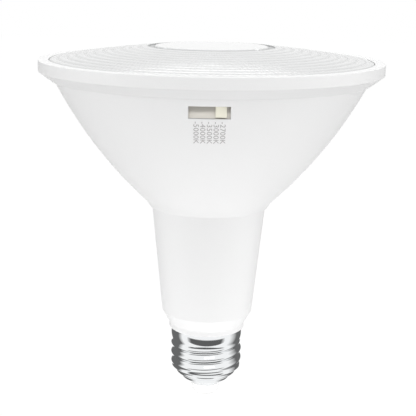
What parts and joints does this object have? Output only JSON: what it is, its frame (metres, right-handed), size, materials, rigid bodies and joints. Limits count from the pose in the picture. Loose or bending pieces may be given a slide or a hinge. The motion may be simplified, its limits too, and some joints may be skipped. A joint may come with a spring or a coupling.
{
  "type": "par spotlight bulb",
  "caption": "LED reflector lamp with a ribbed domed lens, a bulged white housing, a medium screw cap and a small slide switch in its side for the colour of the light.",
  "frame": {"origin": "tip of the centre contact, on the lamp's axis", "axes": "+Z along the lamp from the cap to the lens, -Y the way the switch faces, +X along the switch's travel"},
  "size_m": [0.121, 0.121, 0.13],
  "materials": {
    "lens": "moulded lens, satin gloss",
    "white_moulding": "white satin moulding",
    "board_metal": "white solder mask",
    "phosphor": "clear resin over phosphor",
    "white_nylon": "moulded",
    "tinned_metal": "tinned",
    "board_laminate": "green solder mask",
    "capacitor_can": "black sleeve",
    "yellow_case": "moulded",
    "ferrite": "sintered",
    "copper": "bright",
    "black_case": "moulded",
    "green_case": "lacquered",
    "blue_case": "dipped resin",
    "nickel_plate": "bright nickel plate",
    "white_insulator": "moulded",
    "contact_metal": "tinned brass",
    "switch_steel": "plated sheet",
    "cream_moulding": "moulded"
  },
  "bodies": {
    "lamp": {"front_lens": "lens", "front_ring": "white_moulding", "housing": "white_moulding", "led_board": "board_metal", "led_emitters": "phosphor", "led_connector": "white_nylon", "output_leads": "tinned_metal", "driver_board": "board_laminate", "bulk_capacitor": "capacitor_can", "film_capacitor": "yellow_case", "transformer_core": "ferrite", "transformer_winding": "copper", "bridge_rectifier": "black_case", "controller_chip": "black_case", "fuse_resistor": "green_case", "varistor": "blue_case", "shell_lead": "tinned_metal", "contact_lead": "tinned_metal", "screw_shell": "nickel_plate", "base_insulator": "white_insulator", "centre_contact": "contact_metal", "switch_frame": "switch_steel", "switch_base": "black_case", "switch_terminals": "copper"},
    "slider": {"switch_slider": "cream_moulding", "switch_wiper": "copper"}
  },
  "joints": [
    {"name": "switch_slide", "type": "slide", "parent": "lamp", "child": "slider", "axis": [1, 0, 0], "range_m": [-0.008, 0]}
  ]
}
